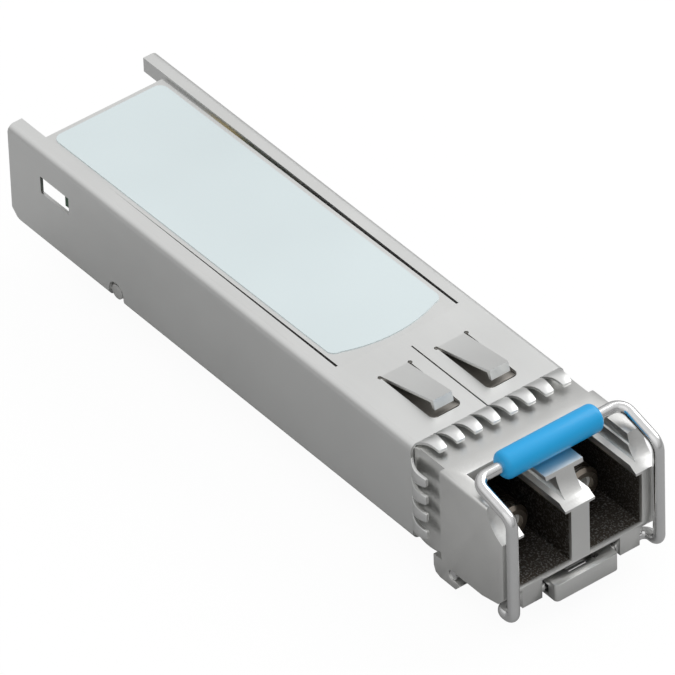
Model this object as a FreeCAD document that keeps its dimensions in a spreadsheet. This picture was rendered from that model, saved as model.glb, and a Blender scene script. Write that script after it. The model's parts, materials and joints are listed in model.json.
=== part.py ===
import FreeCAD, Part
import math
import os
import Sketcher

# Small form-factor optical transceiver module with two fibre ports and a wire bail latch.
# X runs from the rear edge of the can to the ports, Y to the right seen from behind and Z up.
# The origin is on the centre line of the underside, at the rear edge. Sizes are in millimetres.

V = FreeCAD.Vector
UP = V(0, 0, 1)
doc = FreeCAD.newDocument("optical_transceiver")

DIMENSIONS = [
    # Sheet metal can
    ("can_width", 13.55, "outer width of the can"),
    ("can_height", 8.5, "outer height of the can"),
    ("can_length", 46.4, "rear edge to the roots of the front spring fingers"),
    ("sheet", 0.25, "thickness of the can's sheet"),
    ("can_round", 0.6, "outer bend radius of the long edges"),
    ("seat_gap", 0.08, "gap between the can and the casting inside it"),
    ("rail_width", 1.32, "width of the folded rail along each side of the top"),
    ("rail_drop", 1.25, "height of the rail's inner leg"),
    ("plate_rear", 2.5, "rear edge of the label plate"),
    ("plate_behind", 10.0, "front end of the slots beside the label plate behind the can's edge"),
    ("plate_gap", 0.2, "slot between the rail and the label plate"),
    ("plate_sag", 0.35, "how much lower the plate's rear edge lies"),
    ("skirt_length", 10.4, "open underside behind the bottom sheet"),
    ("window_start", 3.75, "side window, rear edge"),
    ("window_length", 3.35, "side window, length"),
    ("window_sill", 4.65, "side window, lower edge"),
    ("window_tall", 1.5, "side window, height"),
    ("heel_chamfer", 1.1, "bevel of the side wall's lower rear corner"),
    ("snap_inset", 2.0, "centre of the snap notch in front of the open skirt"),
    ("snap_radius", 0.85, "radius of the snap notch"),
    # Spring fingers and tongues
    ("finger_length", 1.75, "length of a spring finger"),
    ("finger_rise", 0.5, "height of a finger's arch"),
    ("finger_pitch", 1.57, "pitch of the fingers"),
    ("finger_slot", 0.17, "slot between two fingers at their roots"),
    ("finger_tip", 1.1, "width of a finger's tip"),
    ("tongue_behind", 7.1, "root line of the two ground tongues behind the can's edge"),
    ("tongue_knee", 5.3, "root to the bend of a tongue"),
    ("tongue_flap", 0.2, "length of the turned-down end"),
    ("tongue_lip", 0.75, "height of the turned-down end"),
    ("tongue_slot", 0.15, "slot beside a tongue"),
    ("tongue_width", 2.35, "width of a tongue at its root"),
    ("tongue_tip", 1.66, "width of a tongue at its bend"),
    ("tongue_rise", 1.05, "height of the bend above the can"),
    ("tongue_offset", 2.5, "centre of a tongue from the centre line"),
    ("seam_behind", 8.4, "rear end of the butt seam behind the can's edge"),
    ("seam_width", 0.12, "width of the butt seam"),
    # Cast nose
    ("nose_overhang", 0.075, "how far each side of the nose stands out past the can"),
    ("nose_length", 6.85, "shoulder to front face of the nose"),
    ("neck_reach", 3.25, "length of the neck between the can and the nose"),
    ("nose_step", 0.15, "upper face of the nose below the can's"),
    ("nose_base", 0.1, "lower face of the nose"),
    ("nose_round", 0.25, "rounding of the nose's long upper edges"),
    ("neck_inset", 0.5, "side recess of the neck under the fingers"),
    ("toe_rise", 0.37, "upward slope of the nose's underside"),
    ("toe_chamfer", 0.6, "bevel of the lower front corner"),
    ("scoop_radius", 2.95, "radius of the hollow cut of the upper front edge"),
    ("scoop_ahead", 1.2, "centre of the hollow cut in front of the nose"),
    ("scoop_above", 0.45, "centre of the hollow cut above the nose"),
    # Fibre ports
    ("port_pitch", 6.25, "distance between the two fibre axes"),
    ("port_width", 4.65, "width of a port"),
    ("port_tall", 4.5, "height of a port below its ledges"),
    ("port_floor", 1.4, "floor of the ports"),
    ("port_wall", 0.6, "rear wall of the ports in front of the can's edge"),
    ("ledge_tall", 0.6, "height of the latch ledges"),
    ("ledge_out", 0.5, "how far a ledge stands into the port"),
    ("roof_notch", 5.4, "depth of the notch in the roof"),
    ("roof_thick", 0.8, "thickness of the roof"),
    ("cap_half", 1.65, "half width of the cap over the divider"),
    ("cap_thick", 0.35, "thickness of the cap over the divider"),
    ("mouth_extra", 0.15, "how much wider the roof's notch is than the ports"),
    # Casting inside the can
    ("tray_step", 0.6, "rear end of the casting's tray in front of the open skirt"),
    ("tray_floor", 1.2, "top of the tray's floor"),
    ("tray_wall", 0.35, "thickness of the tray's side walls"),
    ("tray_ledge", 0.85, "width of the ledge that carries the board"),
    ("tray_lip", 0.6, "tray wall above the board's lower face"),
    ("bulkhead", 2.1, "thickness of the wall behind the ports"),
    ("gasket_depth", 0.35, "depth of the gasket's groove"),
    ("post_radius", 1.25, "radius of the screw posts"),
    # Fibre subassemblies
    ("fibre_height", 3.65, "height of the two fibre axes"),
    ("barrel_radius", 1.475, "radius of the receptacle barrel"),
    ("barrel_depth", 3.5, "mouth of the receptacle barrel behind the nose's front"),
    ("flange_radius", 2.0, "radius of the barrel's flange"),
    ("flange_thick", 1.0, "thickness of the barrel's flange"),
    ("neck_radius", 1.3, "radius of the groove behind the flange"),
    ("neck_length", 1.3, "length of the groove behind the flange"),
    ("holder_length", 2.0, "length of the holder behind the groove"),
    ("header_radius", 2.1, "radius of the metal header"),
    ("header_thick", 1.0, "thickness of the metal header"),
    ("bore_radius", 0.63, "bore for the fibre ferrule"),
    ("sleeve_wall", 0.23, "wall of the ceramic ferrule sleeve"),
    ("sleeve_depth", 5.4, "barrel mouth to the end of the ferrule bore"),
    ("sleeve_inset", 0.4, "ferrule sleeve behind the barrel's mouth"),
    ("lead_radius", 0.2, "radius of a header lead"),
    ("lead_circle", 0.9, "radius of the circle of leads"),
    ("lead_length", 1.0, "free length of a lead"),
    # Circuit board
    ("board_rear", 3.2, "rear edge of the board"),
    ("board_behind", 9.4, "front edge of the board behind the can's edge"),
    ("board_low", 2.25, "lower face of the board"),
    ("board_thick", 1.0, "thickness of the board"),
    ("tail_half", 4.6, "half width of the board's plug-in tail"),
    ("tail_length", 8.0, "length of the plug-in tail"),
    ("board_gap", 0.1, "gap between the board and the tray's walls"),
    ("pad_pitch", 0.8, "pitch of the edge contacts"),
    ("pad_width", 0.55, "width of an edge contact"),
    ("pad_length", 2.8, "length of an edge contact"),
    ("pad_thick", 0.04, "thickness of an edge contact"),
    ("screw_inset", 3.0, "board screws in front of the open skirt"),
    ("screw_edge", 1.7, "board screws from the board's edge"),
    ("screw_radius", 0.75, "shank radius of a board screw"),
    # Bail
    ("wire", 0.88, "diameter of the bail wire"),
    ("leg_inset", 0.4, "leg of the bail inside the nose's side face"),
    ("leg_ahead", 0.6, "legs of the bail in front of the nose"),
    ("knee_above", 0.15, "upper end of the legs above the nose"),
    ("bar_behind", 3.35, "cross bar of the bail behind the nose's front"),
    ("bar_above", 1.25, "cross bar above the nose"),
    ("axle_behind", 0.9, "turning axis of the bail behind the nose's front"),
    ("axle_height", -0.35, "height of the turning axis"),
    ("axle_inner", 3.1, "inner end of the axle's full diameter"),
    ("cam_radius", 0.35, "radius of the eccentric journal"),
    ("cam_offset", 0.25, "eccentricity of the journal"),
    ("grip_length", 8.5, "length of the grip sleeve"),
    ("grip_radius", 1.07, "outer radius of the grip sleeve"),
    ("slip", 0.05, "running gap of the turning joints"),
    # Latch lever
    ("lever_tail", 0.2, "lever behind its boss"),
    ("lever_top", 0.62, "upper face of the lever's arm"),
    ("lever_half", 1.3, "half width of the lever's arm"),
    ("boss_behind", 1.4, "locking face of the boss behind the can's edge"),
    ("boss_length", 2.6, "length of the latch boss"),
    ("boss_drop", 0.45, "height of the latch boss"),
    ("pin_ahead", 1.15, "fulcrum pin of the lever in front of the nose's shoulder"),
    ("hook_slot", 0.42, "half height of the slot that holds the pin in a lug"),
    ("pin_height", -0.33, "height of the fulcrum pin's axis"),
    ("pin_radius", 0.37, "radius of the fulcrum pin"),
    ("hub_half", 0.9, "half length of the lever's hub"),
    ("head_length", 3.0, "length of the lever's head"),
    ("head_ahead", 0.7, "front face of the lever's head in front of the nose"),
    ("head_half", 2.77, "half width of the lever's head"),
    ("head_top", 0.65, "upper face of the lever's head"),
    ("head_base", -0.81, "lower face of the lever's head"),
    ("lug_behind", 0.9, "rear face of the hook lugs behind the nose's shoulder"),
    ("lug_length", 3.6, "length of the hook lugs"),
    ("lug_base", -1.35, "lower face of the hook lugs"),
    ("lug_width", 1.15, "width of a hook lug"),
    ("lip_inner", 3.45, "inner side of a bearing block"),
    ("lip_outer", 5.2, "outer side of a bearing block"),
    ("lip_base", -0.42, "lower face of a bearing block"),
    ("lip_depth", 1.5, "length of a bearing block"),
    # Rows of components and the heat path
    ("passive_pitch", 2.2, "pitch of the small components"),
    ("heat_pad_half", 2.1, "half side of the thermal pad"),
    ("heat_pad_thick", 0.6, "thickness of the thermal pad"),
    ("bridge_foot", 1.2, "height of the heat bridge's foot"),
    ("bridge_half_length", 4.0, "half length of the heat bridge's plate"),
    ("bridge_half_width", 4.6, "half width of the heat bridge's plate"),
    ("bridge_gap", 0.1, "gap between the heat bridge and the label plate"),
    ("play", 0.25, "free space around the lever"),
    ("lever_rise", 0.75, "free height above the lever's rear end"),
]

# Each component: its middle from the board's rear edge and from the centre line, length, width, height
COMPONENTS = {
    "laser_driver": (24.0, 0.0, 4.0, 4.0, 0.85),
    "receiver_amplifier": (17.2, 2.2, 3.0, 3.0, 0.8),
    "microcontroller": (17.2, -2.2, 3.6, 3.6, 0.9),
    "memory_chip": (12.4, -1.2, 2.0, 3.0, 0.6),
    "power_inductor": (12.8, 2.2, 2.5, 2.0, 1.2),
    "passive": (13.2, 5.2, 1.0, 0.5, 0.5),
}
for component, sizes in COMPONENTS.items():
    for word, size in zip(("place", "side", "long", "wide", "tall"), sizes):
        DIMENSIONS.append((f"{component}_{word}", size, f"{component.replace('_', ' ')}, {word}"))

dims = doc.addObject("Spreadsheet::Sheet", "dims")
for row, (alias, size, note) in enumerate(DIMENSIONS, start=1):
    dims.set(f"A{row}", alias)
    dims.set(f"B{row}", str(size))
    dims.setAlias(f"B{row}", alias)
    dims.set(f"C{row}", note)
doc.recompute()

# Expressions that several pieces share
NOSE_REAR = "(dims.can_length + dims.neck_reach)"
NOSE_FRONT = f"({NOSE_REAR} + dims.nose_length)"
NOSE_WIDTH = "(dims.can_width + 2 * dims.nose_overhang)"
NOSE_TOP = "(dims.can_height - dims.nose_step)"
CAN_HALF = "dims.can_width / 2"
CAN_INNER = f"({CAN_HALF} - dims.sheet)"
CAST_HALF = f"({CAN_INNER} - dims.seat_gap)"
CAST_LOW = "(dims.sheet + dims.seat_gap)"
CAST_HIGH = "(dims.can_height - dims.sheet - dims.seat_gap)"
FIBRE = "dims.port_pitch / 2"
PORT_INNER = f"({FIBRE} - dims.port_width / 2)"
PORT_OUTER = f"({FIBRE} + dims.port_width / 2)"
MOUTH_HALF = f"({PORT_OUTER} + dims.mouth_extra)"
PORT_BACK = "(dims.can_length + dims.port_wall)"
ROOF_EDGE = f"({NOSE_FRONT} - dims.roof_notch)"
SCOOP_PLACE = f"({NOSE_FRONT} + dims.scoop_ahead)"
SCOOP_HEIGHT = f"({NOSE_TOP} + dims.scoop_above)"
BARREL_FRONT = f"({NOSE_FRONT} - dims.barrel_depth)"
TRAY_REAR = "(dims.skirt_length + dims.tray_step)"
SNAP_PLACE = "(dims.skirt_length + dims.snap_inset)"
PLATE_FRONT = "(dims.can_length - dims.plate_behind)"
TONGUE_ROOT = "(dims.can_length - dims.tongue_behind)"
SEAM_START = "(dims.can_length - dims.seam_behind)"
LEDGE = "(dims.port_floor + dims.port_tall)"
BULK_REAR = f"({PORT_BACK} - dims.bulkhead)"
BOARD_FRONT = "(dims.can_length - dims.board_behind)"
BOARD_HALF = f"({CAST_HALF} - dims.tray_wall - dims.board_gap)"
SCREW_PLACE = "(dims.skirt_length + dims.screw_inset)"
SCREW_SIDE = f"({BOARD_HALF} - dims.screw_edge)"
BOARD_TOP = "(dims.board_low + dims.board_thick)"
FLANGE_REAR = f"({BULK_REAR} - dims.flange_thick)"
GROOVE_REAR = f"({FLANGE_REAR} - dims.neck_length)"
HOLDER_REAR = f"({GROOVE_REAR} - dims.holder_length)"
HEADER_REAR = f"({HOLDER_REAR} - dims.header_thick)"
AXLE_PLACE = f"({NOSE_FRONT} - dims.axle_behind)"
BAR_PLACE = f"({NOSE_FRONT} - dims.bar_behind)"
BAR_HEIGHT = f"({NOSE_TOP} + dims.bar_above)"
BOSS_FRONT = "(dims.can_length - dims.boss_behind)"
LEVER_REAR = f"({BOSS_FRONT} - dims.boss_length - dims.lever_tail)"
PIN_PLACE = f"({NOSE_REAR} + dims.pin_ahead)"
HEAD_FRONT = f"({NOSE_FRONT} + dims.head_ahead)"
HEAD_REAR = f"({HEAD_FRONT} - dims.head_length)"
LUG_REAR = f"({NOSE_REAR} - dims.lug_behind)"
LUG_FRONT = f"({LUG_REAR} + dims.lug_length)"
CHANNEL = "(dims.lever_half + dims.play)"
BOTH_SIDES = (("left", -1), ("right", 1))
BEYOND = 2.0


def block(name, x, y, z):
    """A box between pairs of expressions along X, Y and Z."""
    box = doc.addObject("Part::Box", name)
    for side, axis, (low, high) in (("Length", "x", x), ("Width", "y", y), ("Height", "z", z)):
        box.setExpression(side, f"({high}) - ({low})")
        box.setExpression(f"Placement.Base.{axis}", f"{low}")
    return box


def wide_block(name, x, half, z):
    """A box that is symmetrical about the centre plane."""
    return block(name, x, (f"-({half})", half), z)


def side_span(side, inner, outer):
    """A pair of Y expressions on the left (-1) or right (1) of the centre plane."""
    if side > 0:
        return (inner, outer)
    return (f"-({outer})", f"-({inner})")


def rod(name, axis, radius, start, length, across):
    """A cylinder along X, Y or Z that starts at an expression; across gives its other two places."""
    cylinder = doc.addObject("Part::Cylinder", name)
    turns = {"x": FreeCAD.Rotation(V(0, 1, 0), 90), "y": FreeCAD.Rotation(V(1, 0, 0), -90),
             "z": FreeCAD.Rotation()}
    cylinder.Placement = FreeCAD.Placement(V(), turns[axis])
    cylinder.setExpression("Radius", radius)
    cylinder.setExpression("Height", length)
    cylinder.setExpression(f"Placement.Base.{axis}", start)
    for other, place in zip([a for a in "xyz" if a != axis], across):
        cylinder.setExpression(f"Placement.Base.{other}", place)
    return cylinder


def join(name, pieces):
    """One shape from several."""
    fuse = doc.addObject("Part::MultiFuse", name)
    fuse.Shapes = pieces
    return fuse


def carve(name, base, tools):
    """The base with every tool cut away."""
    cut = doc.addObject("Part::Cut", name)
    cut.Base = base
    cut.Tool = tools[0] if len(tools) == 1 else join(f"{name}_tools", tools)
    return cut


def soften(name, base, radius, chosen):
    """The base with the chosen edges rounded."""
    doc.recompute()
    fillet = doc.addObject("Part::Fillet", name)
    fillet.Base = base
    fillet.Edges = [(i, radius, radius) for i, edge in enumerate(base.Shape.Edges, start=1) if chosen(edge)]
    return fillet


def runs_along(direction):
    """A test for straight edges in one direction."""
    return lambda edge: abs(abs(edge.tangentAt(edge.FirstParameter).dot(direction)) - 1) < 1e-6


def outline(body, role, name, points):
    """A closed sketch on an origin plane of the body, each corner bound to two expressions."""
    sketch = body.newObject("Sketcher::SketchObject", name)
    plane = next(f for f in body.Origin.OriginFeatures if f.Role == role)
    sketch.AttachmentSupport = [(plane, "")]
    sketch.MapMode = "FlatFace"
    count = len(points)
    first = [V(math.cos(math.tau * i / count), math.sin(math.tau * i / count), 0) for i in range(count)]
    for i in range(count):
        sketch.addGeometry(Part.LineSegment(first[i], first[(i + 1) % count]), False)
    for i in range(count):
        sketch.addConstraint(Sketcher.Constraint("Coincident", i, 2, (i + 1) % count, 1))
    for i, (across, up) in enumerate(points):
        for kind, start, place in (("DistanceX", first[i].x, across), ("DistanceY", first[i].y, up)):
            index = sketch.addConstraint(Sketcher.Constraint(kind, -1, 1, i, 1, start))
            sketch.setExpression(f"Constraints[{index}]", place)
    return sketch


def padded(name, role, points, length, base=None):
    """A body that pads one outline, evenly to both sides or from a base height."""
    body = doc.addObject("PartDesign::Body", name)
    sketch = outline(body, role, f"{name}_outline", points)
    pad = body.newObject("PartDesign::Pad", f"{name}_pad")
    pad.Profile = sketch
    pad.setExpression("Length", length)
    if base is None:
        pad.Midplane = True
    else:
        body.setExpression("Placement.Base.z", base)
    return body


def turned(name, points, y, z):
    """A body turned about a line along X; points are pairs of X and radius."""
    body = doc.addObject("PartDesign::Body", name)
    sketch = outline(body, "XY_Plane", f"{name}_profile", points)
    turn = body.newObject("PartDesign::Revolution", f"{name}_turn")
    turn.Profile = sketch
    turn.ReferenceAxis = (sketch, ["H_Axis"])
    turn.Angle = 360
    body.setExpression("Placement.Base.y", y)
    body.setExpression("Placement.Base.z", z)
    return body


def shaped(name, shape, place, rotation=FreeCAD.Rotation()):
    """A piece whose shape is worked out here about its own origin, which place puts in the module."""
    feature = doc.addObject("Part::Feature", name)
    feature.Shape = shape
    feature.Placement = FreeCAD.Placement(V(), rotation)
    for axis, text in zip("xyz", place):
        feature.setExpression(f"Placement.Base.{axis}", text)
    return feature


def face_through(points):
    """A flat face through corner points."""
    return Part.Face(Part.makePolygon(points + points[:1]))


def bent_path(corners, radii):
    """Straight runs through the corners, joined by tangent arcs of the given radii."""
    edges = []
    start = corners[0]
    for before, corner, after, radius in zip(corners, corners[1:], corners[2:], radii):
        to_start = (before - corner).normalize()
        to_end = (after - corner).normalize()
        half_turn = (math.pi - to_start.getAngle(to_end)) / 2
        setback = radius * math.tan(half_turn)
        arc_start = corner + to_start * setback
        arc_end = corner + to_end * setback
        inward = (to_start + to_end).normalize()
        middle = corner + inward * (radius / math.cos(half_turn) - radius)
        edges.append(Part.LineSegment(start, arc_start).toShape())
        edges.append(Part.Arc(arc_start, middle, arc_end).toShape())
        start = arc_end
    edges.append(Part.LineSegment(start, corners[-1]).toShape())
    return Part.Wire(edges)


# Sheet metal can
def finger():
    """One arched, tapered spring finger with its root's outer corner at the origin."""
    length = dims.finger_length
    rise = dims.finger_rise
    thick = dims.sheet
    root = (dims.finger_pitch - dims.finger_slot) / 2
    tip = dims.finger_tip / 2
    corner = V(0, -root, 0)
    back = V(-thick, -root, 0)
    top = Part.Arc(corner, V(length / 2, -root, rise), V(length, -root, thick / 3))
    under = Part.Arc(corner - UP * thick, V(length / 2, -root, rise - thick),
                     V(length - thick / 2, -root, -thick / 3))
    edges = [Part.LineSegment(back, corner), top, Part.LineSegment(top.EndPoint, under.EndPoint), under,
             Part.LineSegment(under.StartPoint, back - UP * thick), Part.LineSegment(back - UP * thick, back)]
    profile = Part.Face(Part.Wire(Part.__sortEdges__([edge.toShape() for edge in edges])))
    strip = profile.extrude(V(0, 2 * root, 0))
    half = [V(-thick, root, 0), V(length * 0.15, root, 0), V(length * 0.9, tip, 0), V(length, tip * 0.75, 0)]
    plan = face_through(half + [V(p.x, -p.y, 0) for p in reversed(half)])
    plan.translate(-UP * thick * 2)
    return strip.common(plan.extrude(UP * (thick * 2 + rise * 2)))


def finger_rows():
    """Spring fingers around the can's front edge, with a gap below for the lever."""
    whole_row = [-3.5, -2.5, -1.5, -0.5, 0.5, 1.5, 2.5, 3.5]
    beyond_lever = [place for place in whole_row if abs(place) > 1]
    width, height = dims.can_width / 2, dims.can_height / 2
    rows = [(whole_row, V(0, 0, height), 0), (beyond_lever, V(0, 0, -height), 180),
            (whole_row[2:6], V(0, width, 0), -90), (whole_row[2:6], V(0, -width, 0), 90)]
    model = finger()
    fingers = []
    for places, middle, angle in rows:
        turn = FreeCAD.Rotation(V(1, 0, 0), angle)
        for place in places:
            start = middle + turn.multVec(V(0, dims.finger_pitch * place, 0))
            fingers.append(model.transformed(FreeCAD.Placement(start, turn).Matrix))
    return shaped("spring_fingers", Part.makeCompound(fingers),
                  ("dims.can_length", "0", "dims.can_height / 2"))


def ground_tongue(name, side):
    """A tapered tongue that is bent up out of the can's top, with a short turned-down end."""
    thick = dims.sheet
    knee = dims.tongue_knee
    end = knee + dims.tongue_flap
    lift = dims.tongue_rise
    profile = face_through([V(-thick, 0, 0), V(), V(knee, 0, lift), V(end, 0, lift - dims.tongue_lip),
                            V(end - thick, 0, lift - dims.tongue_lip), V(knee - thick, 0, lift - thick * 1.2),
                            V(0, 0, -thick), V(-thick, 0, -thick)])
    wide = dims.tongue_width / 2
    narrow = dims.tongue_tip / 2
    strip = profile.extrude(V(0, dims.tongue_width, 0))
    strip.translate(V(0, -wide, 0))
    half = [V(-thick, wide, 0), V(0, wide, 0), V(knee, narrow, 0), V(end, narrow, 0)]
    plan = face_through(half + [V(p.x, -p.y, 0) for p in reversed(half)])
    plan.translate(-UP * lift * 2)
    return shaped(name, strip.common(plan.extrude(UP * lift * 4)),
                  (TONGUE_ROOT, f"{side} * dims.tongue_offset", "dims.can_height"))


def tongue_tools(name, side):
    """The opening round a tongue, with round reliefs at the two corners of its root."""
    middle = f"{side} * dims.tongue_offset"
    reach = "(dims.tongue_width / 2 + dims.tongue_slot)"
    above = ("dims.can_height / 2", f"dims.can_height + {BEYOND}")
    opening = soften(f"{name}_tongue_corners", block(
        f"{name}_tongue_opening", (TONGUE_ROOT, f"{TONGUE_ROOT} + dims.tongue_knee + dims.tongue_flap * 3"),
        (f"{middle} - {reach}", f"{middle} + {reach}"), above), 0.5,
        lambda edge: runs_along(UP)(edge) and edge.BoundBox.XMin > dims.can_length - dims.tongue_behind + 1)
    holes = [rod(f"{name}_tongue_relief_{end}", "z", "dims.tongue_slot * 1.2", "dims.can_height / 2",
                 "dims.can_height", (TONGUE_ROOT, f"{middle} + {end} * {reach}")) for end in (-1, 1)]
    return [opening, *holes]


def plate_angle():
    """Slope of the label plate, rising towards the front."""
    return f"-atan(dims.plate_sag / ({PLATE_FRONT} - dims.plate_rear))"


def outer_can():
    """Sheet can: closed sleeve in front, rails beside the label plate, open skirt at the rear."""
    length = ("0", "dims.can_length")
    outer = soften("can_outside", wide_block("can_form", length, CAN_HALF, ("0", "dims.can_height")),
                   dims.can_round, runs_along(V(1, 0, 0)))
    hollow = soften("can_inside", wide_block("can_room", ("-1", "dims.can_length + 1"), CAN_INNER,
                                             ("dims.sheet", "dims.can_height - dims.sheet")),
                    dims.can_round - dims.sheet, runs_along(V(1, 0, 0)))
    shell = carve("can_shell", outer, [hollow])
    rail_inner = f"({CAN_HALF} - dims.rail_width)"
    above = ("dims.can_height / 2", f"dims.can_height + {BEYOND}")
    tools = [
        wide_block("top_opening", ("-1", PLATE_FRONT), rail_inner, above),
        wide_block("skirt_opening", ("-1", "dims.skirt_length"), CAN_INNER, ("-1", "dims.sheet * 2")),
        wide_block("window", ("dims.window_start", "dims.window_start + dims.window_length"),
                   f"{CAN_HALF} + {BEYOND}", ("dims.window_sill", "dims.window_sill + dims.window_tall")),
        rod("snap_round", "y", "dims.snap_radius", f"-({CAN_HALF} + {BEYOND})",
            f"dims.can_width + {2 * BEYOND}", (SNAP_PLACE, "dims.snap_radius")),
        wide_block("snap_slot", (f"{SNAP_PLACE} - dims.snap_radius", f"{SNAP_PLACE} + dims.snap_radius"),
                   f"{CAN_HALF} + {BEYOND}", ("-1", "dims.snap_radius")),
        wide_block("lever_opening", (f"{LEVER_REAR} - dims.play", "dims.can_length + 1"), CHANNEL,
                   ("-1", "dims.sheet * 2")),
        wide_block("seam", (SEAM_START, "dims.can_length + 1"), "dims.seam_width / 2", above),
    ]
    for name, side in BOTH_SIDES:
        tools += tongue_tools(name, side)
        heel = padded(f"{name}_heel", "XZ_Plane", [("-1", "-1"), ("dims.heel_chamfer", "-1"),
                                                 ("dims.heel_chamfer", "0"), ("0", "dims.heel_chamfer"),
                                                 ("-1", "dims.heel_chamfer")], "dims.sheet * 4")
        heel.setExpression("Placement.Base.y", f"{side} * {CAN_HALF}")
        tools.append(heel)
    legs = [block(f"{name}_rail_leg", ("0", f"{PLATE_FRONT} - dims.rail_width / 2"),
                  side_span(side, rail_inner, f"{rail_inner} + dims.sheet"),
                  ("dims.can_height - dims.rail_drop", "dims.can_height - dims.sheet / 2"))
            for name, side in BOTH_SIDES]
    plate = block("label_plate", ("0", f"{PLATE_FRONT} - dims.plate_rear + dims.sheet"),
                  (f"-({rail_inner} - dims.plate_gap)", f"{rail_inner} - dims.plate_gap"),
                  ("0", "dims.sheet"))
    plate.Placement.Rotation = FreeCAD.Rotation(V(0, 1, 0), -0.5)
    plate.setExpression("Placement.Base.x", "dims.plate_rear")
    plate.setExpression("Placement.Base.z", "dims.can_height - dims.sheet - dims.plate_sag")
    plate.setExpression("Placement.Rotation.Angle", plate_angle())
    tongues = [ground_tongue(f"{name}_tongue", side) for name, side in BOTH_SIDES]
    return join("outer_can", [carve("can_cut", shell, tools), *legs, plate, *tongues, finger_rows()])


def label():
    """Blank paper label with a rounded rear end and a bowed front edge, on the sloping plate."""
    half = dims.can_width / 2 - dims.rail_width - dims.plate_gap - 0.35
    plate = dims.can_length - dims.plate_behind - dims.plate_rear
    rear, front = 0.4, plate - 0.2
    corner, bow, thick = 0.7, 0.85, 0.06
    diagonal = corner * (1 - math.sqrt(0.5))
    arcs = [
        Part.Arc(V(rear, corner - half, 0), V(rear + diagonal, diagonal - half, 0),
                 V(rear + corner, -half, 0)),
        Part.Arc(V(front - bow - corner, -half, 0), V(front - bow - diagonal, diagonal - half, 0),
                 V(front - bow, corner - half, 0)),
        Part.Arc(V(front - bow, corner - half, 0), V(front, 0, 0), V(front - bow, half - corner, 0)),
        Part.Arc(V(front - bow, half - corner, 0), V(front - bow - diagonal, half - diagonal, 0),
                 V(front - bow - corner, half, 0)),
        Part.Arc(V(rear + corner, half, 0), V(rear + diagonal, half - diagonal, 0),
                 V(rear, half - corner, 0)),
    ]
    lines = [Part.LineSegment(arcs[0].EndPoint, arcs[1].StartPoint),
             Part.LineSegment(arcs[3].EndPoint, arcs[4].StartPoint),
             Part.LineSegment(arcs[4].EndPoint, arcs[0].StartPoint)]
    edges = Part.__sortEdges__([curve.toShape() for curve in arcs + lines])
    sheet = Part.Face(Part.Wire(edges)).extrude(V(0, 0, thick))
    slope = math.atan(dims.plate_sag / plate)
    lift = 1 - math.cos(slope)
    return shaped("label", sheet, (f"dims.plate_rear - {math.sin(slope):.6f} * dims.sheet", "0",
                                   f"dims.can_height - dims.plate_sag - {lift:.6f} * dims.sheet"),
                  FreeCAD.Rotation(V(0, 1, 0), -math.degrees(slope)))


# Cast housing
def port_tools(name, side):
    """Everything that is cut away for one fibre port."""
    ahead = f"{NOSE_FRONT} + {BEYOND}"
    depth = (PORT_BACK, ahead)
    ledge_top = f"({LEDGE} + dims.ledge_tall)"
    return [
        block(f"{name}_port", depth, side_span(side, PORT_INNER, PORT_OUTER), ("dims.port_floor", LEDGE)),
        block(f"{name}_latch_slot", depth,
              side_span(side, f"{PORT_INNER} + dims.ledge_out", f"{PORT_OUTER} - dims.ledge_out"),
              (LEDGE, ledge_top)),
        block(f"{name}_waist", depth, side_span(side, PORT_INNER, PORT_OUTER),
              (ledge_top, f"{NOSE_TOP} - dims.roof_thick")),
        block(f"{name}_waist_front", (ROOF_EDGE, ahead), side_span(side, PORT_INNER, MOUTH_HALF),
              (f"{NOSE_TOP} - dims.roof_thick", f"{NOSE_TOP} - dims.cap_thick")),
        block(f"{name}_roof_mouth", (ROOF_EDGE, ahead),
              side_span(side, "dims.cap_half", MOUTH_HALF),
              (f"{NOSE_TOP} - dims.cap_thick", f"{NOSE_TOP} + {BEYOND}")),
        rod(f"{name}_barrel_hole", "x", "dims.barrel_radius + dims.slip / 2", f"{BULK_REAR} - 1",
            "dims.bulkhead + 2", (f"{side} * {FIBRE}", "dims.fibre_height")),
    ]


def hook_lug(name, side):
    """Hook under the nose's rear corner that holds one end of the fulcrum pin, open to the front."""
    lug = padded(f"{name}_lug", "XZ_Plane", [
        (LUG_REAR, "dims.nose_base + dims.sheet"), (LUG_REAR, "dims.lug_base + 0.7"),
        (f"{LUG_REAR} + 0.2", "dims.lug_base + 0.2"), (f"{LUG_REAR} + 0.7", "dims.lug_base"),
        (f"{LUG_FRONT} - 1.2", "dims.lug_base"),
        (LUG_FRONT, "dims.nose_base - 0.15"), (LUG_FRONT, "dims.nose_base + dims.sheet")],
        "dims.lug_width")
    lug.setExpression("Placement.Base.y", f"{side} * ({NOSE_WIDTH} - dims.lug_width) / 2")
    return lug


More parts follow.
